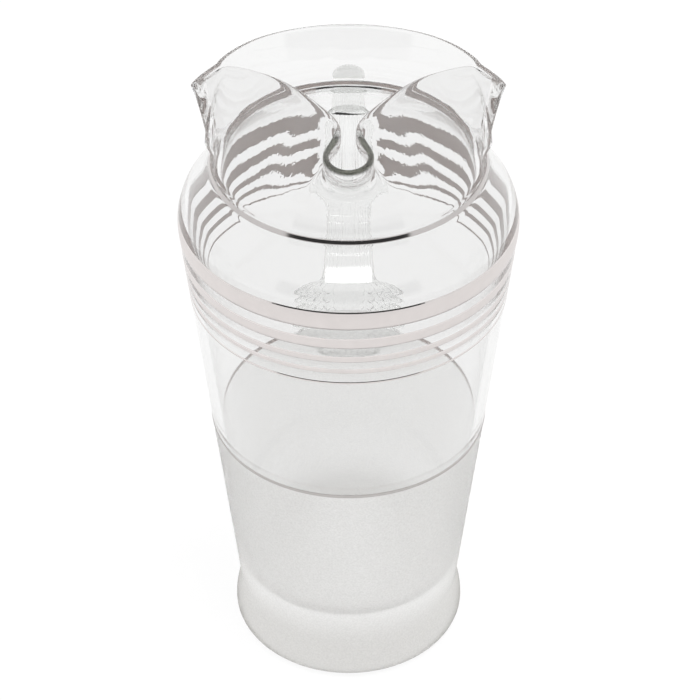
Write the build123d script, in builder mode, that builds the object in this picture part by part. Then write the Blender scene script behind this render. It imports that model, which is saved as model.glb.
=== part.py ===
"""Blown glass cocktail pitcher with a pinched spout, an applied reeded handle and fired silver bands.

Millimetres, +Z up. The origin is the middle of the base, the spout points to -Y and the handle to +Y.
"""
import os
from math import asin, cos, degrees, dist, hypot, radians, sin

from build123d import *

os.makedirs("parts", exist_ok=True)

# Vessel, outside. Heights of the shoulder's corner and below are from the base.
foot_radius = 41.6
heel_round = 4.1
waist_radius = 39.85
waist_height = 19.0
shoulder_radius = 57.5
shoulder_height = 182.6
shoulder_round = 20.0
shoulder_rise = 16.9
neck_radius = 46.0
collar_depth = 2.5
collar_step = 0.6

# Vessel, inside
body_wall = 3.2
neck_wall = 3.0
floor_thickness = 16.0
bowl_height = 33.0

# Mouth, along the inside of the rim. The rim's plane climbs from the back to the spout.
rim_wall = 2.1
neck_rise = 23.1
neck_root = 1.2
rim_climb = 0.09
rim_radius = 48.1
rim_back_angles = (0, 22, 44)
ear_root = (41.4, 24.2)
ear_corner = (43.2, 19.4)
ear_tip = (51.4, 7.6)
brow = (39.6, 20.9)
panel_bow = 5.6
crease_spread = 1.6
crease_lead = 7.5
pinch_gap = 4.8
pinch_setback = 21.3
loop_width = 12.2
loop_setback = 37.0
lip_reach = 46.2

# Neck between the collar and the rim: where each station starts on the collar, and how the glass was drawn
ear_angle = 78
ear_spread = 7.0
ear_power = 1.4
ear_swell = 1.6
back_collar_angles = (0, 22, 44, 62, ear_angle, 90)
panel_collar_angles = (104, 118, 132, 146)
loop_collar_angles = (155, 162, 168, 174, 180)
neck_levels = (0, 0.25, 0.5, 0.75, 1)
flare_power = 1.5
gutter_power = 2.6
dent_setback = 15.0
dent_width = 12.8

# Handle: a strap from the shoulder to a crimped pad
strap_top_width = 10.5
strap_low_width = 18.0
strap_thickness = 7.0
strap_ribs = 14
rib_height = 0.55
strap_sections = 8
strap_root_rise = 1.4
strap_reach = 29.5
strap_lap = 6.0
strap_fullness = 1.2
strap_lift = 0.5
strap_return = 0.45
grip_drop = 23.6
pad_top = 111.0
pad_bottom = 72.0
pad_width = 41.0
pad_thickness = 3.6
pad_lobes = 4
pad_crimp = 1.8
leaf_start = 27
leaf_end = 162

# Silver, fired on to the outside. Each band has its top edge's drop from the shoulder's corner and its width.
silver_film = 0.2
neck_band_width = 2.0
band_drops = [1.8, 13.0, 21.0, 26.7, 32.7]
band_widths = [7.1, 4.3, 2.5, 1.9, 0.8]
hairline_top = 95.0
hairline_width = 1.3
band_end_gap = 1.5

collar_height = shoulder_height + shoulder_rise
neck_height = collar_height + collar_depth
taper_rate = (shoulder_radius - waist_radius) / (shoulder_height - waist_height)
slope_rate = (shoulder_radius - neck_radius) / shoulder_rise
throat_radius = neck_radius - neck_wall - collar_step / 2
throat_height = collar_height - (body_wall * hypot(1, slope_rate) - neck_radius + throat_radius) / slope_rate


def taper_radius(height, grow=0.0):
    """Radius of the tapered wall, moved outwards by grow, at a height."""
    return waist_radius + taper_rate * (height - waist_height) + grow * hypot(1, taper_rate)


def slope_radius(height, grow=0.0):
    """Radius of the shoulder's slope, moved outwards by grow, at a height."""
    return neck_radius + slope_rate * (collar_height - height) + grow * hypot(1, slope_rate)


def wall_curve(low, high, grow=0.0):
    """Taper, rounded shoulder and slope as one curve, moved outwards by grow."""
    corner_height = waist_height + (
        slope_radius(waist_height, grow) - taper_radius(waist_height, grow)
    ) / (taper_rate + slope_rate)
    return FilletPolyline(
        (taper_radius(low, grow), low),
        (taper_radius(corner_height, grow), corner_height),
        (slope_radius(high, grow), high),
        radius=shoulder_round + grow,
    )


def section_plane(level):
    """Plane of the neck's section at a level from 0, its root in the collar, to 1, the rim."""
    tilt = rim_climb * level
    middle = neck_height - neck_root + (neck_root + neck_rise) * level
    return Plane(origin=(0, 0, middle), x_dir=(1, 0, 0), z_dir=(0, tilt, 1))


def between(start, end, share):
    """Point on the way from start to end."""
    return (start[0] + (end[0] - start[0]) * share, start[1] + (end[1] - start[1]) * share)


def beside(start, end, share, distance):
    """Point on the way from start to end, moved to the left of that way."""
    x, y = between(start, end, share)
    along = (end[0] - start[0], end[1] - start[1])
    length = hypot(*along)
    return (x - distance * along[1] / length, y + distance * along[0] / length)


def on_circle(radius, angle):
    """Point at an angle from the back, towards the right."""
    return (radius * sin(radians(angle)), radius * cos(radians(angle)))


def mouth_stations():
    """Right half of the inside of the rim, from the back to the lip.

    Each station has its angle on the collar, its point on the rim, and the point that the front's dent
    alone would bring it to, before the gutter is drawn out of the dent.
    """
    back = [on_circle(rim_radius, angle) for angle in rim_back_angles] + [ear_root, ear_corner, brow]
    stations = [(angle, point, point) for angle, point in zip(back_collar_angles, back)]

    crease = (pinch_gap / 2 + crease_spread, crease_lead - pinch_setback)
    for number, angle in enumerate(panel_collar_angles, 1):
        share = number / len(panel_collar_angles)
        bow = panel_bow * sin(radians(180 * share ** 0.8))
        point = beside(brow, crease, share, -bow)
        stations.append((angle, point, point))

    loop = [
        (pinch_gap / 2, -pinch_setback),
        between((pinch_gap / 2, -pinch_setback), (loop_width / 2, -loop_setback), 0.63),
        (loop_width / 2, -loop_setback),
        (0.36 * loop_width, -(0.7 * lip_reach + 0.3 * loop_setback)),
        (0, -lip_reach),
    ]
    for number, (angle, point) in enumerate(zip(loop_collar_angles, loop), 1):
        share = number / len(loop)
        stations.append((angle, point, (dent_width / 2 * (1 - share), -dent_setback)))
    return stations


def inside_half(level):
    """Right half of the inside of the neck at a level, from the back to the front."""
    half = []
    for angle, rim, dented in mouth_stations():
        x, y = between(on_circle(neck_radius - neck_wall, angle), dented, level ** flare_power)
        drawn = level ** gutter_power
        swollen = 4 * ear_swell * level * (1 - level) if angle == ear_angle else 0
        half.append((x + swollen + (rim[0] - dented[0]) * drawn, y + (rim[1] - dented[1]) * drawn))
    return half


def outside_half(level):
    """The same half moved out by the wall, with the ear drawn out to its tip."""
    inside = inside_half(level)
    collar_wall = neck_wall - collar_step
    wall = collar_wall + (rim_wall - collar_wall) * level
    mirrored = [(-x, y) for x, y in inside]
    ends = [mirrored[1]] + inside + [mirrored[-2]]
    half = []
    for before, point, after in zip(ends, inside, ends[2:]):
        x, y = beside(before, after, 0.5, wall)
        middle = between(before, after, 0.5)
        half.append((point[0] + x - middle[0], point[1] + y - middle[1]))

    ear = back_collar_angles.index(ear_angle)
    before, corner, after = inside_half(1)[ear - 1:ear + 2]
    roots = [on_circle(neck_radius - collar_step, ear_angle + turn) for turn in (-ear_spread, 0, ear_spread)]
    back = between(roots[0], beside(before, corner, 0.6, rim_wall), level ** flare_power)
    tip = between(roots[1], ear_tip, 1 - (1 - level) ** ear_power)
    front = between(roots[2], beside(corner, after, 0.4, rim_wall), level ** flare_power)
    ear_points = [back, between(back, tip, 0.5), tip, between(tip, front, 0.5), front]
    return half[:ear] + ear_points + half[ear + 1:]


def neck_section(half, level):
    """Closed outline of the neck from its right half, in the coordinates of the section plane."""
    stretch = hypot(1, rim_climb * level)
    right = [(x, y * stretch) for x, y in half]
    return right + [(-x, y) for x, y in right[-2:0:-1]]


def neck_solid(half_at):
    """Loft up the neck. The sections share their parameters, so that each station makes one line up."""
    sections = [neck_section(half_at(level), level) for level in neck_levels]
    reached = [0]
    for station in range(len(sections[0])):
        steps = [dist(points[station], points[station - 1]) for points in (sections[0], sections[-1])]
        reached.append(reached[-1] + sum(steps))
    with BuildPart() as neck:
        for level, points in zip(neck_levels, sections):
            with BuildSketch(section_plane(level)):
                with BuildLine():
                    add(Edge.make_spline(points[-1:] + points[:-1], periodic=True, parameters=reached))
                make_face()
        loft()
    return neck.part


def strap_point(rib, width, out):
    """Point on the strap's section, counted in ribs round it and moved outwards by out."""
    angle = radians(360 * rib / strap_ribs)
    return ((width / 2 + out) * cos(angle), (strap_thickness / 2 + out) * sin(angle))


def pad_outline():
    """Corners between the pad's crimped lobes, clockwise from the top right."""
    right = []
    for lobe in range(pad_lobes + 1):
        share = lobe / pad_lobes
        right.append((pad_half_width(share), pad_top - (pad_top - pad_bottom) * share))
    return right + [(-x, height) for x, height in reversed(right)]


def pad_half_width(share):
    """Half width of the leaf-shaped pad, from 0 at its top to 1 at its tip."""
    return pad_width / 2 * sin(radians(leaf_start + (leaf_end - leaf_start) * share))


def silver_band(top, width, opening):
    """Film on the wall below a height, stopped at both sides of an opening at the back."""
    angle = 2 * degrees(asin(opening / 2 / taper_radius(top)))
    start = radians(90 + angle / 2)
    across = Plane((0, 0, 0), x_dir=(cos(start), sin(start), 0), z_dir=(sin(start), -cos(start), 0))
    with BuildPart() as band:
        with BuildSketch(across):
            with BuildLine():
                under = wall_curve(waist_height, collar_height)
                over = wall_curve(waist_height, collar_height, silver_film)
                Line(under @ 0, over @ 0)
                Line(under @ 1, over @ 1)
            make_face()
            with Locations((shoulder_radius / 2, top - width / 2)):
                Rectangle(2 * shoulder_radius, width, mode=Mode.INTERSECT)
        revolve(axis=Axis.Z, revolution_arc=360 - angle)
    return band.part


# Solid form of the body below the neck, used whole to cut the handle to its seat
with BuildPart() as body_form:
    with BuildSketch(Plane.XZ):
        with BuildLine():
            base = Line((0, 0), (foot_radius - heel_round, 0))
            heel = TangentArc(base @ 1, (foot_radius, heel_round), tangent=(1, 0))
            Spline(heel @ 1, (waist_radius, waist_height), tangents=((0, 1), (taper_rate, 1)))
            wall = wall_curve(waist_height, collar_height)
            Polyline(wall @ 1, (neck_radius, neck_height), (0, neck_height), (0, 0))
        make_face()
    revolve(axis=Axis.Z)

# Blown vessel
with BuildPart() as glass_body:
    add(body_form.part)
    with BuildSketch(Plane.XZ):
        with BuildLine():
            floor = Spline(
                (0, floor_thickness),
                (taper_radius(bowl_height, -body_wall), bowl_height),
                tangents=((1, 0), (taper_rate, 1)),
            )
            inner_wall = wall_curve(bowl_height, throat_height, -body_wall)
            Polyline(
                inner_wall @ 1,
                (throat_radius, neck_height),
                (0, neck_height),
                (0, floor_thickness),
            )
        make_face()
    revolve(axis=Axis.Z, mode=Mode.SUBTRACT)
    add(neck_solid(outside_half))
    add(neck_solid(inside_half), mode=Mode.SUBTRACT)

glass_body.part.label = "glass_body"
export_step(glass_body.part, "parts/glass_body.step")

# Applied handle: a reeded strap that springs from the shoulder and ends in a crimped pad
strap_root = shoulder_height + strap_root_rise
strap_end = pad_top - strap_lap
with BuildPart() as strap:
    with BuildLine(Plane.YZ) as strap_line:
        Spline(
            (slope_radius(strap_root) - 2 * strap_thickness, strap_root),
            (shoulder_radius + strap_reach, shoulder_height - grip_drop),
            (taper_radius(strap_end) - strap_thickness, strap_end),
            tangents=((1, strap_lift), (0, -1), (-1, -strap_return)),
            tangent_scalars=(strap_fullness, strap_fullness, strap_fullness),
        )
    path = strap_line.line
    for section in range(strap_sections):
        share = section / (strap_sections - 1)
        width = strap_top_width + (strap_low_width - strap_top_width) * share
        with BuildSketch(Plane(origin=path @ share, x_dir=(1, 0, 0), z_dir=path % share)):
            with BuildLine():
                for rib in range(strap_ribs):
                    ThreePointArc(
                        strap_point(rib, width, 0),
                        strap_point(rib + 0.5, width, rib_height),
                        strap_point(rib + 1, width, 0),
                    )
            make_face()
    loft()

with BuildPart() as pad:
    with BuildSketch(Plane.back):
        with BuildLine():
            corners = pad_outline()
            for start, end in zip(corners, corners[1:] + corners[:1]):
                ThreePointArc(start, beside(start, end, 0.5, pad_crimp), end)
        make_face()
    extrude(amount=2 * shoulder_radius)
    with BuildSketch(Plane.XZ):
        with BuildLine():
            sheet = wall_curve(waist_height, collar_height, pad_thickness)
            Polyline(sheet @ 1, (0, collar_height), (0, waist_height), sheet @ 0)
        make_face()
    revolve(axis=Axis.Z, mode=Mode.INTERSECT)

with BuildPart() as handle:
    add(strap.part)
    add(pad.part)
    add(body_form.part, mode=Mode.SUBTRACT)

handle.part.label = "handle"
export_step(handle.part, "parts/handle.step")

# Silver ring on the collar
with BuildPart() as neck_band:
    with BuildSketch(Plane.XZ):
        with Locations((neck_radius + silver_film / 2, (collar_height + neck_height) / 2)):
            Rectangle(silver_film, neck_band_width)
    revolve(axis=Axis.Z)

neck_band.part.label = "neck_band"
export_step(neck_band.part, "parts/neck_band.step")

# Graded silver bands under the shoulder, open behind the handle
for number, (drop, width) in enumerate(zip(band_drops, band_widths), 1):
    shoulder_band = silver_band(shoulder_height - drop, width, strap_low_width + 2 * band_end_gap)
    shoulder_band.label = f"shoulder_band_{number}"
    export_step(shoulder_band, f"parts/shoulder_band_{number}.step")

# Silver line along the top of the frosting, open at the pad
hairline_share = (pad_top - hairline_top) / (pad_top - pad_bottom)
frost_hairline = silver_band(
    hairline_top,
    hairline_width,
    2 * (pad_half_width(hairline_share) + pad_crimp + band_end_gap),
)
frost_hairline.label = "frost_hairline"
export_step(frost_hairline, "parts/frost_hairline.step")
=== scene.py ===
import math

import bmesh
import bpy
import numpy as np
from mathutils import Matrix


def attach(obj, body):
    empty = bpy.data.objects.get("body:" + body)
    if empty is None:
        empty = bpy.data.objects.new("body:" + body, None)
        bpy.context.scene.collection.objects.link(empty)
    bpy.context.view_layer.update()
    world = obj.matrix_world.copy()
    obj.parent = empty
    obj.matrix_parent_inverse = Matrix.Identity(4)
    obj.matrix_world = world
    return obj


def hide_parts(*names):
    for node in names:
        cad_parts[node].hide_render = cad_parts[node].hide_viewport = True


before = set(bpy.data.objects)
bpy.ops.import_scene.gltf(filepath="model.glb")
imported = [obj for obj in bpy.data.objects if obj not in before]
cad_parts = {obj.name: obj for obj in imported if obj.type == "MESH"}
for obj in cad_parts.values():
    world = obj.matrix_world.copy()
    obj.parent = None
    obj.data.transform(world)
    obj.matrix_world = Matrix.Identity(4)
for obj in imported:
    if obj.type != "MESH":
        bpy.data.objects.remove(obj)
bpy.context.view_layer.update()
mm = 0.001
weldGap = 1e-6
fullTurn = 2 * math.pi
print("frame loaded:", ", ".join(sorted(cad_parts)))


# Wraps a socket, so that node maths reads as expressions
class Wire:
    def __init__(self, graph, socket):
        self.graph = graph
        self.socket = socket

    def __add__(self, other):
        return self.graph.maths("ADD", self, other)

    def __radd__(self, other):
        return self.graph.maths("ADD", other, self)

    def __sub__(self, other):
        return self.graph.maths("SUBTRACT", self, other)

    def __rsub__(self, other):
        return self.graph.maths("SUBTRACT", other, self)

    def __mul__(self, other):
        return self.graph.maths("MULTIPLY", self, other)

    def __rmul__(self, other):
        return self.graph.maths("MULTIPLY", other, self)

    def __truediv__(self, other):
        return self.graph.maths("DIVIDE", self, other)

    def __rtruediv__(self, other):
        return self.graph.maths("DIVIDE", other, self)

    # Another output of the same node
    def output(self, name):
        return Wire(self.graph, self.socket.node.outputs[name])

    # Smooth share of the way from start to end
    def share(self, start, end):
        limits = {"Value": self, "From Min": start, "From Max": end}
        return self.graph.node("ShaderNodeMapRange", {"interpolation_type": "SMOOTHSTEP"}, limits)


class Graph:
    def __init__(self, tree):
        self.tree = tree

    # Adds a node: settings first, then values or links of its inputs. Gives back one of its outputs.
    def node(self, kind, settings=None, inputs=None, outlet=0):
        made = self.tree.nodes.new(kind)
        for name, value in (settings or {}).items():
            if name == "stops":
                stops = made.color_ramp.elements
                while len(stops) < len(value):
                    stops.new(1)
                for stop, (place, colour) in zip(stops, value):
                    stop.position = place
                    stop.color = (*colour, 1)
            elif name == "curve":
                points = made.mapping.curves[0].points
                while len(points) < len(value):
                    points.new(1, 1)
                for point, place in zip(points, value):
                    point.location = place
                made.mapping.update()
            else:
                setattr(made, name, value)
        for name, value in (inputs or {}).items():
            if isinstance(value, Wire):
                self.tree.links.new(value.socket, made.inputs[name])
            else:
                made.inputs[name].default_value = value
        return Wire(self, made.outputs[outlet]) if made.outputs else None

    def maths(self, operation, first, second=0.0):
        return self.node("ShaderNodeMath", {"operation": operation}, {0: first, 1: second})

    def vector(self, operation, first, second):
        return self.node("ShaderNodeVectorMath", {"operation": operation}, {0: first, 1: second})

    # Blends two colours. Mix has sockets of the same name for each data type, so the colour ones go by number.
    def blend(self, share, first, second, way="MIX"):
        first, second = [colour if isinstance(colour, Wire) else (*colour, 1) for colour in (first, second)]
        settings = {"data_type": "RGBA", "blend_type": way}
        return self.node("ShaderNodeMix", settings, {0: share, 6: first, 7: second}, 2)

    def noise(self, place, scale, detail):
        return self.node("ShaderNodeTexNoise", None, {"Vector": place, "Scale": scale, "Detail": detail}, "Fac")

    def objectPlace(self):
        return self.node("ShaderNodeTexCoord", None, None, "Object")


# Vessel sizes in millimetres, and how many rings each stretch of its skin has
vessel = {
    "footRadius": 41.6, "heelRound": 4.1, "waistRadius": 39.85, "waistHeight": 19.0,
    "shoulderRadius": 57.5, "shoulderHeight": 182.6, "shoulderRound": 20.0, "shoulderRise": 16.9,
    "shoulderFrom": 174, "shoulderTo": 190, "neckRadius": 46.0, "collarDepth": 2.5, "collarStep": 0.6,
    "bodyWall": 3.2, "neckWall": 3.0, "floorThickness": 16.0, "bowlHeight": 33.0, "poleRadius": 6,
    "frostTop": 94.3, "rootBelow": 0.5, "rootTop": 201.4, "rootRadius": 45.2, "rootLevel": 0.07,
    "throatDepth": 3.5,
    "rings": {"base": 7, "heel": 9, "waist": 13, "wall": (20, 20, 18, 6), "cone": 5, "root": 7, "neck": 26,
              "rim": 10, "throat": 14, "insideShoulder": 20, "insideBody": 34, "bowl": 22},
}
mouth = {
    "rimWall": 1.7, "rimRound": 0.8, "neckRise": 23.1, "neckRoot": 1.2, "climb": 0.09, "backRadius": 48.9,
    "backAngles": (0, 22, 44), "backCollar": (0, 22, 44, 62, 78, 90), "panelCollar": (104, 118, 132, 146),
    "loopCollar": (155, 162, 168, 174, 180), "brow": (39.6, 20.9), "panelBow": 5.6, "bowLean": 0.8,
    "creaseSpread": 1.6, "creaseLead": 7.5, "pinchGap": 4.8, "pinchSetback": 21.3, "flarePower": 1.5,
    "loopWidth": 12.2, "loopSetback": 37.0, "loopStart": 0.63, "loopWall": 1.9,
    "lipReach": 46.2, "lipCorner": (0.36, 0.7), "dentSetback": 15.0, "dentWidth": 12.8,
    "gutterStation": 10, "gutterFrom": 0.33, "gutterTo": 0.88,
    "earStation": 4, "earRoot": (41.4, 24.2), "earCorner": (43.2, 19.4), "earTip": (51.4, 7.6),
    "earSpread": 7.0, "earPower": 0.8, "earSwell": 1.6, "earSeat": 47.4, "earLegs": (0.6, 0.4),
    "earBulges": (0.8, 1.0), "earHollow": (47.4, 13.0), "hollowSeat": 44.2,
    "columnsPerStation": 10,
}
clearZone, frostZone = 0, 1
collarHeight = vessel["shoulderHeight"] + vessel["shoulderRise"]
neckHeight = collarHeight + vessel["collarDepth"]
taperRise = vessel["shoulderHeight"] - vessel["waistHeight"]
taperRate = (vessel["shoulderRadius"] - vessel["waistRadius"]) / taperRise
slopeRate = (vessel["shoulderRadius"] - vessel["neckRadius"]) / vessel["shoulderRise"]


# Radius of the wall, moved outwards by grow, at a height: taper, rounded shoulder, slope
def wallRadius(height, grow=0.0):
    lowAngle, highAngle = math.atan(taperRate), math.atan(slopeRate)
    taperGrow, slopeGrow = grow * math.hypot(1, taperRate), grow * math.hypot(1, slopeRate)
    rounding = vessel["shoulderRound"] + grow
    away = (slopeGrow - taperGrow) / (taperRate + slopeRate)
    cornerHeight = vessel["shoulderHeight"] + away
    cornerRadius = vessel["shoulderRadius"] + taperRate * away + taperGrow
    reach = rounding * math.tan((lowAngle + highAngle) / 2)
    lowEnd = cornerHeight - reach * math.cos(lowAngle)
    if height < lowEnd:
        return vessel["waistRadius"] + taperRate * (height - vessel["waistHeight"]) + taperGrow
    if height > cornerHeight + reach * math.cos(highAngle):
        return vessel["neckRadius"] + slopeRate * (collarHeight - height) + slopeGrow
    middleRadius = cornerRadius - reach * math.sin(lowAngle) - rounding * math.cos(lowAngle)
    middleHeight = lowEnd + rounding * math.sin(lowAngle)
    return middleRadius + math.sqrt(rounding ** 2 - (height - middleHeight) ** 2)


# Root of the neck: a short cone that carries the neck's silver
rootLow = collarHeight - vessel["rootBelow"]
rootCone = np.linspace((wallRadius(rootLow), rootLow), (vessel["rootRadius"], vessel["rootTop"]),
                       vessel["rings"]["cone"])


def coneRadius(height):
    return float(np.interp(height, rootCone[:, 1], rootCone[:, 0]))


def between(start, end, share):
    return (start[0] + (end[0] - start[0]) * share, start[1] + (end[1] - start[1]) * share)


# Point on the way from start to end, moved to the left of that way
def beside(start, end, share, distance):
    x, y = between(start, end, share)
    length = math.dist(start, end)
    return (x - distance * (end[1] - start[1]) / length, y + distance * (end[0] - start[0]) / length)


def onCircle(radius, angle):
    return (radius * math.sin(math.radians(angle)), radius * math.cos(math.radians(angle)))


# Right half of the inside of the rim, from the back to the lip: collar angle, rim point, dented point
def mouthStations():
    m = mouth
    back = [onCircle(m["backRadius"], angle) for angle in m["backAngles"]]
    back += [m["earRoot"], m["earCorner"], m["brow"]]
    stations = [(angle, point, point) for angle, point in zip(m["backCollar"], back)]
    crease = (m["pinchGap"] / 2 + m["creaseSpread"], m["creaseLead"] - m["pinchSetback"])
    for number, angle in enumerate(m["panelCollar"], 1):
        share = number / len(m["panelCollar"])
        bow = m["panelBow"] * math.sin(math.pi * share ** m["bowLean"])
        point = beside(m["brow"], crease, share, -bow)
        stations.append((angle, point, point))
    pinch = (m["pinchGap"] / 2, -m["pinchSetback"])
    loop = (m["loopWidth"] / 2, -m["loopSetback"])
    wide, far = m["lipCorner"]
    lipCorner = (wide * m["loopWidth"], -(far * m["lipReach"] + (1 - far) * m["loopSetback"]))
    gutter = [pinch, between(pinch, loop, m["loopStart"]), loop, lipCorner, (0, -m["lipReach"])]
    for number, (angle, point) in enumerate(zip(m["loopCollar"], gutter), 1):
        dented = (m["dentWidth"] / 2 * (1 - number / len(gutter)), -m["dentSetback"])
        stations.append((angle, point, dented))
    return stations


# Inside of the neck at a level from 0, the collar, to 1, the rim. The gutter swells out of the dented front.
def insideHalf(level):
    half = []
    share = min(max((level - mouth["gutterFrom"]) / (mouth["gutterTo"] - mouth["gutterFrom"]), 0), 1)
    drawn = share ** 2 * (3 - 2 * share)
    for station, (angle, rim, dented) in enumerate(mouthStations()):
        collar = onCircle(vessel["neckRadius"] - vessel["neckWall"], angle)
        x, y = between(collar, dented, level ** mouth["flarePower"])
        if station == mouth["earStation"]:
            x += 4 * mouth["earSwell"] * level * (1 - level)  # fullest half way up
        half.append(between((x, y), rim, drawn if station >= mouth["gutterStation"] else 0))
    return half


# Back leg, tip and front leg of the ear, between their seats on the collar and their places on the rim
def earPoints(level, seat, places):
    angle, spread = mouth["backCollar"][mouth["earStation"]], mouth["earSpread"]
    flare, rise = level ** mouth["flarePower"], 1 - (1 - level) ** mouth["earPower"]
    ways = zip((-spread, 0, spread), places, (flare, rise, flare))
    return [between(onCircle(seat, angle + turn), place, share) for turn, place, share in ways]


# The inside moved out by the wall, with the ear drawn out to its tip
def outsideHalf(level):
    inside = insideHalf(level)
    collarWall = vessel["neckWall"] - vessel["collarStep"]
    ends = [(-inside[1][0], inside[1][1])] + inside + [(-inside[-2][0], inside[-2][1])]
    half = []
    for station, (before, point, after) in enumerate(zip(ends, inside, ends[2:])):
        edgeWall = mouth["loopWall" if station >= mouth["gutterStation"] else "rimWall"]
        wall = collarWall + (edgeWall - collarWall) * level
        middle, moved = between(before, after, 0.5), beside(before, after, 0.5, wall)
        half.append((point[0] + moved[0] - middle[0], point[1] + moved[1] - middle[1]))
    ear, rimWall, (backLeg, frontLeg) = mouth["earStation"], mouth["rimWall"], mouth["earLegs"]
    before, corner, after = insideHalf(1)[ear - 1:ear + 2]
    places = (beside(before, corner, backLeg, rimWall), mouth["earTip"], beside(corner, after, frontLeg, rimWall))
    back, tip, front = earPoints(level, mouth["earSeat"], places)
    backBulge, frontBulge = [bulge * level ** 2 for bulge in mouth["earBulges"]]
    drawn = [back, beside(back, tip, 0.5, backBulge), tip, beside(tip, front, 0.5, frontBulge), front]
    return half[:ear] + drawn + half[ear + 1:]


# The inside with the hollow of the ear, which narrows to a slit at the rim
def hollowHalf(level):
    inside, rim = insideHalf(level), insideHalf(1)
    ear, (backLeg, frontLeg) = mouth["earStation"], mouth["earLegs"]
    before, corner, after = rim[ear - 1:ear + 2]
    places = (between(before, corner, backLeg), mouth["earHollow"], between(corner, after, frontLeg))
    back, tip, front = earPoints(level, mouth["hollowSeat"], places)
    drawn = [back, between(back, tip, 0.5), tip, between(tip, front, 0.5), front]
    return inside[:ear] + drawn + inside[ear + 1:]


def wholeLoop(half):
    return np.array(half + [(-x, y) for x, y in half[-2:0:-1]])


# Distances along a loop, added up over the collar and the rim, which all levels share
def loopKnots(halfAt):
    steps = 0
    for level in (0, 1):
        points = wholeLoop(halfAt(level))
        steps = steps + np.linalg.norm(np.roll(points, -1, axis=0) - points, axis=1)
    return np.concatenate(([0], np.cumsum(steps)))


# Smooth closed curve through points at knots, read off at places along it
def smoothLoop(points, knots, places):
    count = len(points)
    gaps = np.diff(knots)
    after = np.roll(points, -1, axis=0)
    rates = (after - points) / gaps[:, None]
    system = np.zeros((count, count))
    for number in range(count):
        system[number, number - 1] = gaps[number - 1]
        system[number, number] = 2 * (gaps[number - 1] + gaps[number])
        system[number, (number + 1) % count] = gaps[number]
    bends = np.linalg.solve(system, 6 * (rates - np.roll(rates, 1, axis=0)))
    spans = np.clip(np.searchsorted(knots, places, "right") - 1, 0, count - 1)
    b = ((places - knots[spans]) / gaps[spans])[:, None]
    a = 1 - b
    curve = (a ** 3 - a) * bends[spans] + (b ** 3 - b) * np.roll(bends, -1, axis=0)[spans]
    return a * points[spans] + b * after[spans] + curve * (gaps[spans] ** 2 / 6)[:, None]


# Lifts a section of the neck to its tilted plane
def raised(points, level):
    middle = neckHeight - mouth["neckRoot"] + (mouth["neckRoot"] + mouth["neckRise"]) * level
    heights = middle - mouth["climb"] * level * points[:, 1]
    return np.column_stack((points, heights))


def ring(radius, height, angles):
    heights = np.full(len(angles), float(height))
    return np.column_stack((radius * np.sin(angles), radius * np.cos(angles), heights))


# Rings that lead smoothly from one ring to another, given the way on at each end
def joined(start, startWay, end, endWay, count):
    pull = np.linalg.norm(end - start, axis=1, keepdims=True)
    startWay = startWay / np.linalg.norm(startWay, axis=1, keepdims=True) * pull
    endWay = endWay / np.linalg.norm(endWay, axis=1, keepdims=True) * pull
    return [(2 * t ** 3 - 3 * t ** 2 + 1) * start + (t ** 3 - 2 * t ** 2 + t) * startWay
            + (3 * t ** 2 - 2 * t ** 3) * end + (t ** 3 - t ** 2) * endWay for t in np.linspace(0, 1, count)]


# The same for one profile of (radius, height) pairs
def easedCurve(start, startWay, end, endWay, count):
    ends = [np.array([pair], float) for pair in (start, startWay, end, endWay)]
    return np.vstack(joined(*ends, count))


def meshObject(name, points, faces, zones):
    mesh = bpy.data.meshes.new(name)
    mesh.from_pydata((np.asarray(points) * mm).tolist(), [], faces)
    mesh.polygons.foreach_set("material_index", zones)
    mesh.polygons.foreach_set("use_smooth", [True] * len(mesh.polygons))
    piece = bpy.data.objects.new(name, mesh)
    bpy.context.collection.objects.link(piece)
    return piece


def outwardFaces(piece):
    work = bmesh.new()
    work.from_mesh(piece.data)
    bmesh.ops.remove_doubles(work, verts=work.verts, dist=weldGap)
    bmesh.ops.recalc_face_normals(work, faces=work.faces)
    work.to_mesh(piece.data)
    work.free()


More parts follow.
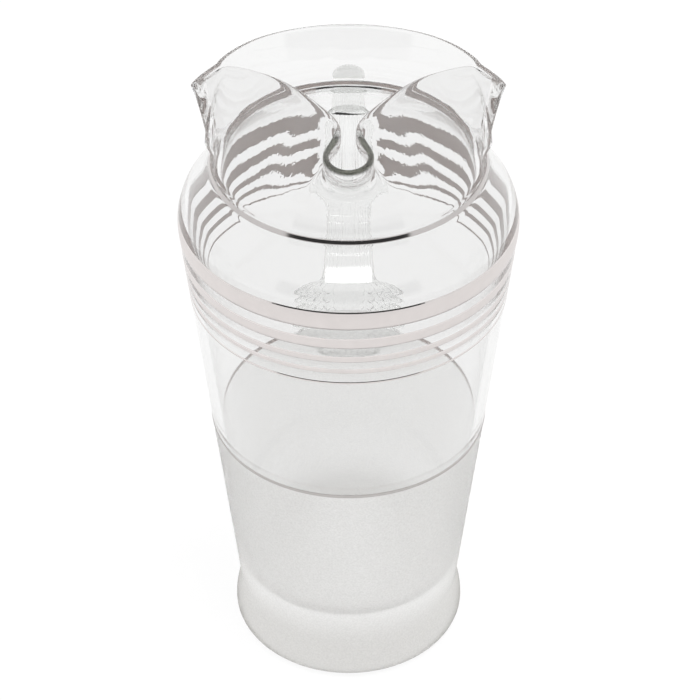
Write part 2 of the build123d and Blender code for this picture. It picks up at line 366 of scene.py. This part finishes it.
# The whole vessel is one closed skin: out along the base, up the outside, over the rim, down the inside
def buildVessel():
    v, m, count = vessel, mouth, vessel["rings"]
    outKnots, inKnots = loopKnots(outsideHalf), loopKnots(hollowHalf)
    share = np.arange(m["columnsPerStation"]) / m["columnsPerStation"]
    outPlaces = (outKnots[:-1, None] + np.diff(outKnots)[:, None] * share).ravel()
    inPlaces = (inKnots[:-1, None] + np.diff(inKnots)[:, None] * share).ravel()

    def outside(level):
        return raised(smoothLoop(wholeLoop(outsideHalf(level)), outKnots, outPlaces), level)

    def inside(level):
        return raised(smoothLoop(wholeLoop(hollowHalf(level)), inKnots, inPlaces), level)

    outAngles = np.arctan2(*outside(0)[:, :2].T)
    inAngles = np.arctan2(*inside(0)[:, :2].T)

    # Base, heel and waist
    flatRadii = np.linspace(v["poleRadius"], v["footRadius"] - v["heelRound"], count["base"])
    rows = [ring(radius, 0, outAngles) for radius in flatRadii]
    for turn in np.linspace(0, math.pi / 2, count["heel"])[1:]:
        radius = v["footRadius"] - v["heelRound"] * (1 - math.sin(turn))
        rows.append(ring(radius, v["heelRound"] * (1 - math.cos(turn)), outAngles))
    heel, waist = (v["footRadius"], v["heelRound"]), (v["waistRadius"], v["waistHeight"])
    for radius, height in easedCurve(heel, (0, 1), waist, (taperRate, 1), count["waist"])[1:]:
        rows.append(ring(radius, height, outAngles))

    # Wall and root of the neck
    frostEnd = len(rows) + count["wall"][0] - 1
    stops = (v["waistHeight"], v["frostTop"], v["shoulderFrom"], v["shoulderTo"], rootLow)
    for low, high, number in zip(stops, stops[1:], count["wall"]):
        rows += [ring(wallRadius(height), height, outAngles) for height in np.linspace(low, high, number)[1:]]
    rows += [ring(radius, height, outAngles) for radius, height in rootCone[1:]]

    # Neck, fire-polished rim and the inside of the neck
    wallTop = 1 - m["rimRound"] / (m["neckRoot"] + m["neckRise"])
    levels = np.linspace(v["rootLevel"], wallTop, count["neck"])
    first, second = outside(levels[0]), outside(levels[1])
    rows += joined(rows[-1], rows[-1] - rows[-2], first, second - first, count["root"])[1:-1]
    rows += [outside(level) for level in levels]
    outer, inner = outside(wallTop), inside(wallTop)
    crest = (outside(1) + inside(1)) / 2
    for turn in np.linspace(0, math.pi, count["rim"])[1:-1]:
        middle = (outer + inner) / 2 * (1 - math.sin(turn)) + crest * math.sin(turn)
        rows.append(middle + (outer - inner) / 2 * math.cos(turn))
    rows += [inside(level) for level in levels[::-1]]

    # Throat, inside of the wall and bowl
    throatTop = collarHeight - v["throatDepth"]
    inHeights = np.concatenate((
        np.linspace(throatTop, v["shoulderFrom"], count["insideShoulder"]),
        np.linspace(v["shoulderFrom"], v["bowlHeight"], count["insideBody"])[1:],
    ))
    inRows = [ring(wallRadius(height, -v["bodyWall"]), height, inAngles) for height in inHeights]
    rows += joined(rows[-1], rows[-1] - rows[-2], inRows[0], inRows[1] - inRows[0], count["throat"])[1:-1]
    rows += inRows
    bowl, floor = (wallRadius(v["bowlHeight"], -v["bodyWall"]), v["bowlHeight"]), (0, v["floorThickness"])
    for radius, height in easedCurve(bowl, (-taperRate, -1), floor, (-1, 0), count["bowl"])[1:-1]:
        rows.append(ring(radius, height, inAngles))

    # Quads between the rings, and a fan at each pole
    columns = len(outPlaces)
    points = np.vstack([[(0, 0, 0)]] + rows + [[(0, 0, v["floorThickness"])]])
    pairs = [(column, (column + 1) % columns) for column in range(columns)]
    faces = [(0, 1 + here, 1 + there) for here, there in pairs]
    zones = [clearZone] * columns
    for row in range(len(rows) - 1):
        low, high = 1 + row * columns, 1 + (row + 1) * columns
        faces += [(low + here, high + here, high + there, low + there) for here, there in pairs]
        frosted = count["base"] - 1 <= row < frostEnd - 1
        zones += [frostZone if frosted else clearZone] * columns
    pole = len(points) - 1
    faces += [(pole, pole - columns + there, pole - columns + here) for here, there in pairs]
    zones += [clearZone] * columns
    piece = meshObject("vesselGlass", points, faces, zones)
    outwardFaces(piece)
    print("vessel:", len(rows), "rings of", columns, "points")
    return piece


# A tree of geometry nodes with named inputs. Gives back the tree, its graph and its inputs as wires.
def newTree(name, inputs):
    tree = bpy.data.node_groups.new(name, "GeometryNodeTree")
    tree.interface.new_socket("Geometry", in_out="INPUT", socket_type="NodeSocketGeometry")
    for label, kind in inputs.items():
        tree.interface.new_socket(label, in_out="INPUT", socket_type=kind)
    tree.interface.new_socket("Geometry", in_out="OUTPUT", socket_type="NodeSocketGeometry")
    graph = Graph(tree)
    entry = graph.node("NodeGroupInput")
    return tree, graph, {label: entry.output(label) for label in ("Geometry", *inputs)}


# Welds the seams and closes the tree
def closeTree(graph, geometry, material):
    welded = graph.node("GeometryNodeMergeByDistance", None, {"Geometry": geometry, "Distance": weldGap})
    real = graph.node("GeometryNodeRealizeInstances", None, {"Geometry": welded})
    dressed = graph.node("GeometryNodeSetMaterial", None, {"Geometry": real, "Material": material})
    graph.node("NodeGroupOutput", None, {"Geometry": dressed})


# Runs a tree on a source object with its input values, and keeps the result as a plain mesh
def grown(name, source, tree, values):
    modifier = source.modifiers.new("grow", "NODES")
    modifier.node_group = tree
    places = {item.name: item.identifier for item in tree.interface.items_tree if item.in_out == "INPUT"}
    for label, value in values.items():
        modifier[places[label]] = value
    bpy.context.view_layer.update()
    ready = source.evaluated_get(bpy.context.evaluated_depsgraph_get())
    mesh = bpy.data.meshes.new_from_object(ready)
    source.modifiers.remove(modifier)
    mesh.name = name
    mesh.polygons.foreach_set("use_smooth", [True] * len(mesh.polygons))
    piece = bpy.data.objects.new(name, mesh)
    bpy.context.collection.objects.link(piece)
    bpy.data.objects.remove(source)
    return piece


def curveObject(name, points, closed, kind="POLY"):
    curve = bpy.data.curves.new(name, "CURVE")
    curve.dimensions = "3D"
    spline = curve.splines.new(kind)
    spline.points.add(len(points) - 1)
    for knot, point in zip(spline.points, points):
        knot.co = (*[value * mm for value in point], 1)
    spline.use_cyclic_u = closed
    piece = bpy.data.objects.new(name, curve)
    bpy.context.collection.objects.link(piece)
    return piece


# Silver fired on to the outside: each ring is swept round the axis from its section on the wall
silver = {
    "film": 0.13, "sunk": 0.05, "edge": 0.01, "bevel": 0.45, "bevelShare": 0.3, "inward": -0.5,
    "steps": 220, "sectionSteps": 8,
    "bandDrops": (1.8, 13.0, 21.0, 26.7, 32.7), "bandWidths": (7.1, 4.3, 2.5, 1.9, 0.8), "bandOpening": 21.0,
    "neckWidth": 1.4, "neckDrop": 0.3,
    "hairlineTop": 95.0, "hairlineWidth": 1.3, "hairlineOpening": 46.0,
}
backZone, bevelZone = 1, 2


def silverTree():
    kinds = {"Radius": "NodeSocketFloat", "Start": "NodeSocketFloat", "Sweep": "NodeSocketFloat",
             "Steps": "NodeSocketInt", "Silver": "NodeSocketMaterial"}
    tree, graph, wires = newTree("silverRing", kinds)
    path = graph.node("GeometryNodeCurveArc", {"mode": "RADIUS"}, {
        "Resolution": wires["Steps"], "Radius": wires["Radius"],
        "Start Angle": wires["Start"], "Sweep Angle": wires["Sweep"]})
    strip = graph.node("GeometryNodeCurveToMesh", None, {
        "Curve": path, "Profile Curve": wires["Geometry"], "Fill Caps": True})
    closeTree(graph, strip, wires["Silver"])
    return tree


# A ring with its front, its back as seen through the glass and, on the bands, a polished bevel along the top
def buildRing(name, tree, finishes, radiusAt, top, width, bevel=0.0, opening=0.0):
    upwards = np.linspace(top - width, top, silver["sectionSteps"])
    downwards = np.linspace(top - bevel, top - width, silver["sectionSteps"])
    under = [(radiusAt(height) - silver["sunk"], height) for height in upwards]
    over = [(radiusAt(height) + silver["film"], height) for height in downwards]
    if bevel:
        over.insert(0, (radiusAt(top) + silver["edge"], top))
    middle = radiusAt(top - width / 2)
    section = [(radius - middle, -height, 0) for radius, height in under + over]
    half = math.asin(opening / 2 / middle)
    source = curveObject(name + "Section", section, True)
    piece = grown(name, source, tree, {
        "Radius": middle * mm, "Start": math.pi / 2 + half, "Sweep": fullTurn - 2 * half,
        "Steps": silver["steps"], "Silver": finishes["front"]})
    outwardFaces(piece)
    piece.data.materials.append(finishes["back"])
    if bevel:
        piece.data.materials.append(finishes["bevel"])
    for face in piece.data.polygons:
        if face.normal.xy.dot(face.center.xy.normalized()) < silver["inward"]:
            face.material_index = backZone
        elif bevel and face.center.z > (top - bevel) * mm:
            face.material_index = bevelZone
            face.use_smooth = False
    return piece


# Handle: one reeded strap, swept along its path and pressed flat on the wall at its lower end
handle = {
    "path": ((50, 182.5), (60, 186.8), (70, 186.4), (80.5, 180), (86.5, 167), (86.5, 152), (80, 136),
             (68, 122), (57.5, 114), (53, 107), (51.2, 99), (49.8, 90), (48.9, 82), (48.6, 79)),
    "widths": ((0, 0.30), (0.13, 0.25), (0.53, 0.36), (0.72, 0.42), (0.777, 0.46), (0.794, 0.74), (0.81, 0.97),
               (0.85, 1.0), (0.91, 0.96), (0.96, 0.7), (1, 0.2)),
    "thicknesses": ((0, 0.55), (0.1, 0.7), (0.66, 0.9), (0.76, 0.85), (0.83, 0.64), (0.90, 0.42), (0.96, 0.2),
                    (1, 0.06)),
    "width": 42.0, "thickness": 8.0, "around": 240, "along": 300, "pathOrder": 4, "pathSteps": 16,
    "ribs": 30, "ribHeight": 0.42, "crimps": 15, "crimpDepth": 0.18, "crimpFrom": 0.772, "crimpRun": 0.05,
    "wrapFrom": 0.655, "wrapTo": 0.782, "wallRadius": 49.5, "sunk": 0.06,
}


def handleTree():
    kinds = {"Width": "NodeSocketFloat", "Thickness": "NodeSocketFloat", "Ribs": "NodeSocketFloat",
             "Rib Height": "NodeSocketFloat", "Around": "NodeSocketInt", "Along": "NodeSocketInt",
             "Wrap From": "NodeSocketFloat", "Wrap To": "NodeSocketFloat", "Wall Radius": "NodeSocketFloat",
             "Crimps": "NodeSocketFloat", "Crimp Depth": "NodeSocketFloat", "Crimp From": "NodeSocketFloat",
             "Crimp Run": "NodeSocketFloat", "Glass": "NodeSocketMaterial"}
    tree, graph, wires = newTree("reededHandle", kinds)

    # A unit sheet, rolled round the path: x turns round the strap, y runs along it
    sheet = graph.node("GeometryNodeMeshGrid", None, {
        "Size X": 1, "Size Y": 1, "Vertices X": wires["Around"], "Vertices Y": wires["Along"]}, "Mesh")
    split = graph.node("ShaderNodeSeparateXYZ", None, {0: graph.node("GeometryNodeInputPosition")})
    turn = (split.output("X") + 0.5) * fullTurn
    along = split.output("Y") + 0.5
    centre = graph.node("GeometryNodeSampleCurve", {"mode": "FACTOR", "use_all_curves": True}, {
        "Curves": wires["Geometry"], "Factor": along}, "Position")
    outwards = graph.vector("CROSS_PRODUCT", centre.output("Tangent"), (1, 0, 0))

    # Section: an oval with reeds all round, crimped where the pad is
    wide = graph.node("ShaderNodeFloatCurve", {"curve": handle["widths"]}, {"Value": along})
    thick = graph.node("ShaderNodeFloatCurve", {"curve": handle["thicknesses"]}, {"Value": along})
    crimped = along.share(wires["Crimp From"], wires["Crimp From"] + wires["Crimp Run"])
    wave = graph.maths("ABSOLUTE", graph.maths("SINE", along * wires["Crimps"] * fullTurn))
    notch = 1 - wires["Crimp Depth"] * crimped * (1 - wave)
    rounds = graph.maths("ABSOLUTE", graph.maths("SINE", turn * wires["Ribs"] / 2))
    reed = wires["Rib Height"] * (1 + crimped) * rounds
    halfWidth = wires["Width"] * wide * notch / 2 + reed
    halfThickness = wires["Thickness"] * thick / 2 + reed
    sideways = halfWidth * graph.maths("COSINE", turn)
    lift = halfThickness * graph.maths("SINE", turn)

    # The pad bends round the wall
    wrap = along.share(wires["Wrap From"], wires["Wrap To"])
    chord = graph.maths("SQRT", wires["Wall Radius"] * wires["Wall Radius"] - sideways * sideways)
    sag = wires["Wall Radius"] - chord
    across = graph.node("ShaderNodeCombineXYZ", None, {"X": sideways, "Y": -1 * sag * wrap, "Z": 0.0})
    lifted = graph.node("ShaderNodeVectorMath", {"operation": "SCALE"}, {0: outwards, "Scale": lift})
    place = graph.vector("ADD", graph.vector("ADD", centre, across), lifted)
    shaped = graph.node("GeometryNodeSetPosition", None, {"Geometry": sheet, "Position": place})
    closeTree(graph, shaped, wires["Glass"])
    return tree


def buildHandle(material):
    h = handle
    source = curveObject("handlePath", [(0, y, z) for y, z in h["path"]], False, "NURBS")
    spline = source.data.splines[0]
    spline.order_u = h["pathOrder"]
    spline.use_endpoint_u = True
    spline.resolution_u = h["pathSteps"]
    piece = grown("handleGlass", source, handleTree(), {
        "Width": h["width"] * mm, "Thickness": h["thickness"] * mm, "Ribs": float(h["ribs"]),
        "Rib Height": h["ribHeight"] * mm, "Around": h["around"] + 1, "Along": h["along"],
        "Wrap From": h["wrapFrom"], "Wrap To": h["wrapTo"], "Wall Radius": h["wallRadius"] * mm,
        "Crimps": float(h["crimps"]), "Crimp Depth": h["crimpDepth"], "Crimp From": h["crimpFrom"],
        "Crimp Run": h["crimpRun"], "Glass": material})
    work = bmesh.new()
    work.from_mesh(piece.data)
    bmesh.ops.holes_fill(work, edges=[edge for edge in work.edges if edge.is_boundary], sides=0)
    for vertex in work.verts:  # what lies inside the wall is pressed flat on it
        radius = math.hypot(vertex.co.x, vertex.co.y)
        seat = (wallRadius(vertex.co.z / mm) - h["sunk"]) * mm
        if radius < seat:
            vertex.co.x *= seat / radius
            vertex.co.y *= seat / radius
    work.to_mesh(piece.data)
    work.free()
    outwardFaces(piece)
    print("handle:", len(piece.data.vertices), "points")
    return piece


# A material with an empty node tree, and the graph to fill it
def newMaterial(name):
    material = bpy.data.materials.new(name)
    material.use_nodes = True
    material.node_tree.nodes.clear()
    return material, Graph(material.node_tree)


def finishMaterial(graph, surface, volume=None):
    sockets = {"Surface": surface}
    if volume:
        sockets["Volume"] = volume
    graph.node("ShaderNodeOutputMaterial", None, sockets)


# Clear glass with slow waves. Where the wall is seen edge-on its colour is darkened: painted shade standing in
# for the dark outlines that refraction gives.
clear = {"tint": (0.912, 0.912, 0.910), "ior": 1.5, "waves": 34, "waveDepth": 0.02, "detail": 1.0,
         "paintedEdgeShade": (0.68, 0.68, 0.672), "edgeFrom": 0.62, "edgeTo": 0.9}
panels = {"ripples": (1300, 700, 700), "depth": 0.010, "low": 204, "high": 210, "back": 8, "front": -4}
# The loop's olive is the glass's own green, darkened to near black by painted shade along the rim of the loop
loopEdge = {"oliveAndShade": (0.03, 0.032, 0.022), "low": 222.8, "high": 224.2, "back": -18, "front": -28}
handleFinish = {"tint": (0.96, 0.964, 0.96), "green": (0.60, 0.68, 0.60), "density": 1.0}


def slowWaves(graph, place):
    return clear["waveDepth"] * graph.noise(place, clear["waves"], clear["detail"])


def polishedGlass(graph, tint, relief):
    bump = graph.node("ShaderNodeBump", None, {"Strength": 1.0, "Distance": mm, "Height": relief})
    return graph.node("ShaderNodeBsdfPrincipled", None, {
        "Base Color": tint, "Transmission Weight": 1.0, "IOR": clear["ior"], "Roughness": 0.0, "Normal": bump})


# The vessel's glass has fine ripples in the panels, painted shade along its outlines, and an olive edge round the
# loop of the spout: the glass's own green, deepened to near black by painted shade
def vesselMaterial():
    material, graph = newMaterial("clearGlass")
    place = graph.objectPlace()
    split = graph.node("ShaderNodeSeparateXYZ", None, {0: place})
    y, z = split.output("Y"), split.output("Z")
    ripples = graph.noise(graph.vector("MULTIPLY", place, panels["ripples"]), 1.0, clear["detail"])
    inPanel = z.share(panels["low"] * mm, panels["high"] * mm)
    inPanel = inPanel * y.share(panels["back"] * mm, panels["front"] * mm)
    relief = slowWaves(graph, place) + ripples * inPanel * panels["depth"]
    # Painted shade round the loop: the rim there takes a near-black olive, part the glass's green and part shade
    atRim = (z + mouth["climb"] * y).share(loopEdge["low"] * mm, loopEdge["high"] * mm)
    atLoop = atRim * y.share(loopEdge["back"] * mm, loopEdge["front"] * mm)
    # Painted shade: the glass colour darkens towards the outlines, where the wall is seen edge-on
    turned = graph.node("ShaderNodeLayerWeight", None, None, "Facing")
    tint = graph.blend(turned.share(clear["edgeFrom"], clear["edgeTo"]), clear["tint"], clear["paintedEdgeShade"])
    tint = graph.blend(atLoop, tint, loopEdge["oliveAndShade"])
    finishMaterial(graph, polishedGlass(graph, tint, relief))
    return material


# The handle's glass takes up a little light, and goes green where it is thick
def handleMaterial():
    material, graph = newMaterial("handleGlass")
    glass = polishedGlass(graph, (*handleFinish["tint"], 1), slowWaves(graph, graph.objectPlace()))
    volume = graph.node("ShaderNodeVolumeAbsorption", None, {
        "Color": (*handleFinish["green"], 1), "Density": handleFinish["density"]})
    finishMaterial(graph, glass, volume)
    return material


# Satin frosting, darker towards the foot
frost = {"light": (1.0, 0.995, 0.985), "dark": (0.64, 0.635, 0.62), "foot": (0.66, 0.652, 0.635),
         "lowFrom": 12, "lowTo": 40, "roughness": 0.5, "transmission": 0.85, "ior": 1.2,
         "grain": 1500, "detail": 2.0, "bump": 0.6, "bumpDepth": 0.2}


def frostMaterial():
    material, graph = newMaterial("frostedGlass")
    place = graph.objectPlace()
    grain = graph.noise(place, frost["grain"], frost["detail"])
    height = graph.node("ShaderNodeSeparateXYZ", None, {0: place}, "Z")
    low = height.share(frost["lowFrom"] * mm, frost["lowTo"] * mm)
    tone = graph.blend(1.0, graph.blend(grain, frost["dark"], frost["light"]),
                       graph.blend(low, frost["foot"], (1, 1, 1)), "MULTIPLY")
    bump = graph.node("ShaderNodeBump", None, {
        "Strength": frost["bump"], "Distance": frost["bumpDepth"] * mm, "Height": grain})
    glass = graph.node("ShaderNodeBsdfPrincipled", None, {
        "Base Color": tone, "Transmission Weight": frost["transmission"], "IOR": frost["ior"],
        "Roughness": frost["roughness"], "Normal": bump})
    finishMaterial(graph, glass)
    return material


# Mottled silver: colour and roughness of each kind, and the pinkish back that shows through the glass
silverFinish = {
    "firedSilver": ((0.785, 0.74, 0.725), 0.28), "neckSilver": ((0.64, 0.61, 0.60), 0.08),
    "edgeSilver": ((0.8, 0.76, 0.745), 0.06), "hairlineSilver": ((0.55, 0.52, 0.51), 0.28),
    "mottle": 260.0, "detail": 4.0, "dull": 0.86, "roughSpread": 0.5,
    "backMottle": 420.0, "backDark": (0.92, 0.81, 0.775), "backLight": (0.99, 0.89, 0.855),
    "backMetal": 0.1, "backRoughness": 0.7,
}


def silverMaterial(name):
    colour, roughness = silverFinish[name]
    material, graph = newMaterial(name)
    mottle = graph.noise(graph.objectPlace(), silverFinish["mottle"], silverFinish["detail"])
    tone = graph.blend(mottle, [value * silverFinish["dull"] for value in colour], colour)
    metal = graph.node("ShaderNodeBsdfPrincipled", None, {
        "Base Color": tone, "Metallic": 1.0,
        "Roughness": roughness + mottle * roughness * silverFinish["roughSpread"]})
    finishMaterial(graph, metal)
    return material


def silverBackMaterial():
    material, graph = newMaterial("silverThroughGlass")
    mottle = graph.noise(graph.objectPlace(), silverFinish["backMottle"], silverFinish["detail"])
    tone = graph.blend(mottle, silverFinish["backDark"], silverFinish["backLight"])
    dull = graph.node("ShaderNodeBsdfPrincipled", None, {
        "Base Color": tone, "Metallic": silverFinish["backMetal"], "Roughness": silverFinish["backRoughness"]})
    finishMaterial(graph, dull)
    return material


def dressPiece(piece, node):
    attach(piece, "root")
    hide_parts(node)


vesselPiece = buildVessel()
vesselPiece.data.materials.append(vesselMaterial())
vesselPiece.data.materials.append(frostMaterial())
dressPiece(vesselPiece, "glass_body")

handlePiece = buildHandle(handleMaterial())
dressPiece(handlePiece, "handle")

ringTree = silverTree()
silverBack = silverBackMaterial()
bandFinish = {"front": silverMaterial("firedSilver"), "back": silverBack, "bevel": silverMaterial("edgeSilver")}
for number, (drop, width) in enumerate(zip(silver["bandDrops"], silver["bandWidths"]), 1):
    bevel = min(silver["bevel"], width * silver["bevelShare"])
    band = buildRing(f"shoulderBand{number}", ringTree, bandFinish, wallRadius,
                     vessel["shoulderHeight"] - drop, width, bevel, silver["bandOpening"])
    dressPiece(band, f"shoulder_band_{number}")
neckFinish = {"front": silverMaterial("neckSilver"), "back": silverBack}
neckRing = buildRing("neckRing", ringTree, neckFinish, coneRadius,
                     vessel["rootTop"] - silver["neckDrop"], silver["neckWidth"])
dressPiece(neckRing, "neck_band")
hairlineFinish = {"front": silverMaterial("hairlineSilver"), "back": silverBack}
hairline = buildRing("frostLine", ringTree, hairlineFinish, wallRadius,
                     silver["hairlineTop"], silver["hairlineWidth"], opening=silver["hairlineOpening"])
dressPiece(hairline, "frost_hairline")
print("silver rings done")


# Studio: pale floor, soft light from above and the sides, camera at the photograph's place, in metres
studio = {
    "cameraPlace": (0.0005, -0.7421, 0.7263), "cameraTilt": 50.72, "lens": 142.26, "sensor": 36,
    "floorHalf": 6, "paper": (0.9, 0.9, 0.9), "white": 0.9,
    "sky": ((0.0, (0.92, 0.92, 0.92)), (0.3, (0.95, 0.95, 0.95)), (0.6, (1, 1, 1)), (1.0, (1, 1, 1))),
    "room": (0.05, 0.05, 0.05), "roomSide": (0.66, 0.72), "roomTop": (0.42, 0.32),
    "stripLow": 0.5055, "stripHigh": 0.5135, "stripSoft": 0.0012, "stripSag": 0.143,
    "stripSide": 0.25, "stripFade": 0.9, "stripLight": (9.0, 9.0, 9.0),
    "lamps": (("keyBox", (0.25, -0.35, 1.5), (0.5, 0.35), 9),
              ("leftBox", (-1.1, 0.1, 0.9), (0.5, 0.9), 7),
              ("rightBox", (1.1, 0.2, 0.8), (0.5, 0.9), 5)),
    "lampTarget": (0, 0, 0.12), "bounces": 32,
}


# White to the camera, to mirrors and through glass, with some of the paper's own shading
def layFloor():
    half = studio["floorHalf"]
    mesh = bpy.data.meshes.new("floor")
    mesh.from_pydata([(-half, -half, 0), (half, -half, 0), (half, half, 0), (-half, half, 0)], [], [(0, 1, 2, 3)])
    floor = bpy.data.objects.new("floor", mesh)
    bpy.context.collection.objects.link(floor)
    material, graph = newMaterial("paleFloor")
    ray = graph.node("ShaderNodeLightPath", None, None, "Is Camera Ray")
    seen = graph.maths("MAXIMUM", ray, ray.output("Is Glossy Ray"))
    seen = graph.maths("MAXIMUM", seen, ray.output("Is Transmission Ray"))
    paper = graph.node("ShaderNodeBsdfDiffuse", None, {"Color": (*studio["paper"], 1)})
    white = graph.node("ShaderNodeEmission", None, {"Color": (1, 1, 1, 1), "Strength": 1.0})
    mixed = graph.node("ShaderNodeMixShader", None, {0: seen * studio["white"], 1: paper, 2: white})
    finishMaterial(graph, mixed)
    mesh.materials.append(material)


# A pale room with a dark patch behind the camera and a narrow bright strip above it
def paintRoom():
    world = bpy.data.worlds.new("studio")
    bpy.context.scene.world = world
    world.use_nodes = True
    world.node_tree.nodes.clear()
    graph = Graph(world.node_tree)
    split = graph.node("ShaderNodeSeparateXYZ", None, {
        0: graph.node("ShaderNodeTexCoord", None, None, "Generated")})
    x, y, z = [split.output(axis) for axis in "XYZ"]
    tone = graph.node("ShaderNodeValToRGB", {"stops": studio["sky"]}, {"Fac": z}, "Color")
    level = graph.maths("SQRT", x * x + y * y)
    room = (-1 * y / level).share(*studio["roomSide"]) * z.share(*studio["roomTop"])
    tone = graph.blend(room, tone, studio["room"])
    low, high, soft, side = [studio["strip" + name] for name in ("Low", "High", "Soft", "Side")]
    strip = z + studio["stripSag"] * x * x
    lit = strip.share(low - soft, low + soft) * strip.share(high + soft, high - soft)
    lit = lit * (x * x).share(side ** 2, side ** 2 * studio["stripFade"]) * y.share(0, -1)
    tone = graph.blend(lit, tone, studio["stripLight"])
    sky = graph.node("ShaderNodeBackground", None, {"Color": tone, "Strength": 1.0})
    graph.node("ShaderNodeOutputWorld", None, {"Surface": sky})


# Soft boxes, which neither mirrors nor glass show
def hangLamps():
    for name, place, size, power in studio["lamps"]:
        light = bpy.data.lights.new(name, "AREA")
        light.shape = "RECTANGLE"
        light.size, light.size_y = size
        light.energy = power
        lamp = bpy.data.objects.new(name, light)
        lamp.location = place
        lamp.visible_glossy = False
        lamp.visible_transmission = False
        x, y, z = np.array(studio["lampTarget"]) - np.array(place)
        lamp.rotation_euler = (math.atan2(math.hypot(x, y), -z), 0, math.atan2(y, x) - math.pi / 2)
        bpy.context.collection.objects.link(lamp)


def placeCamera():
    camera = bpy.data.objects.new("camera", bpy.data.cameras.new("camera"))
    camera.location = studio["cameraPlace"]
    camera.rotation_euler = (math.radians(studio["cameraTilt"]), 0, 0)
    camera.data.sensor_width = studio["sensor"]
    camera.data.lens = studio["lens"]
    bpy.context.collection.objects.link(camera)
    bpy.context.scene.camera = camera
    bpy.context.scene.view_settings.view_transform = "Standard"


layFloor()
paintRoom()
hangLamps()
placeCamera()
for setting in ("max_bounces", "transmission_bounces", "glossy_bounces"):  # fewer leave black edges in the glass
    setattr(bpy.context.scene.cycles, setting, studio["bounces"])
print("studio ready")
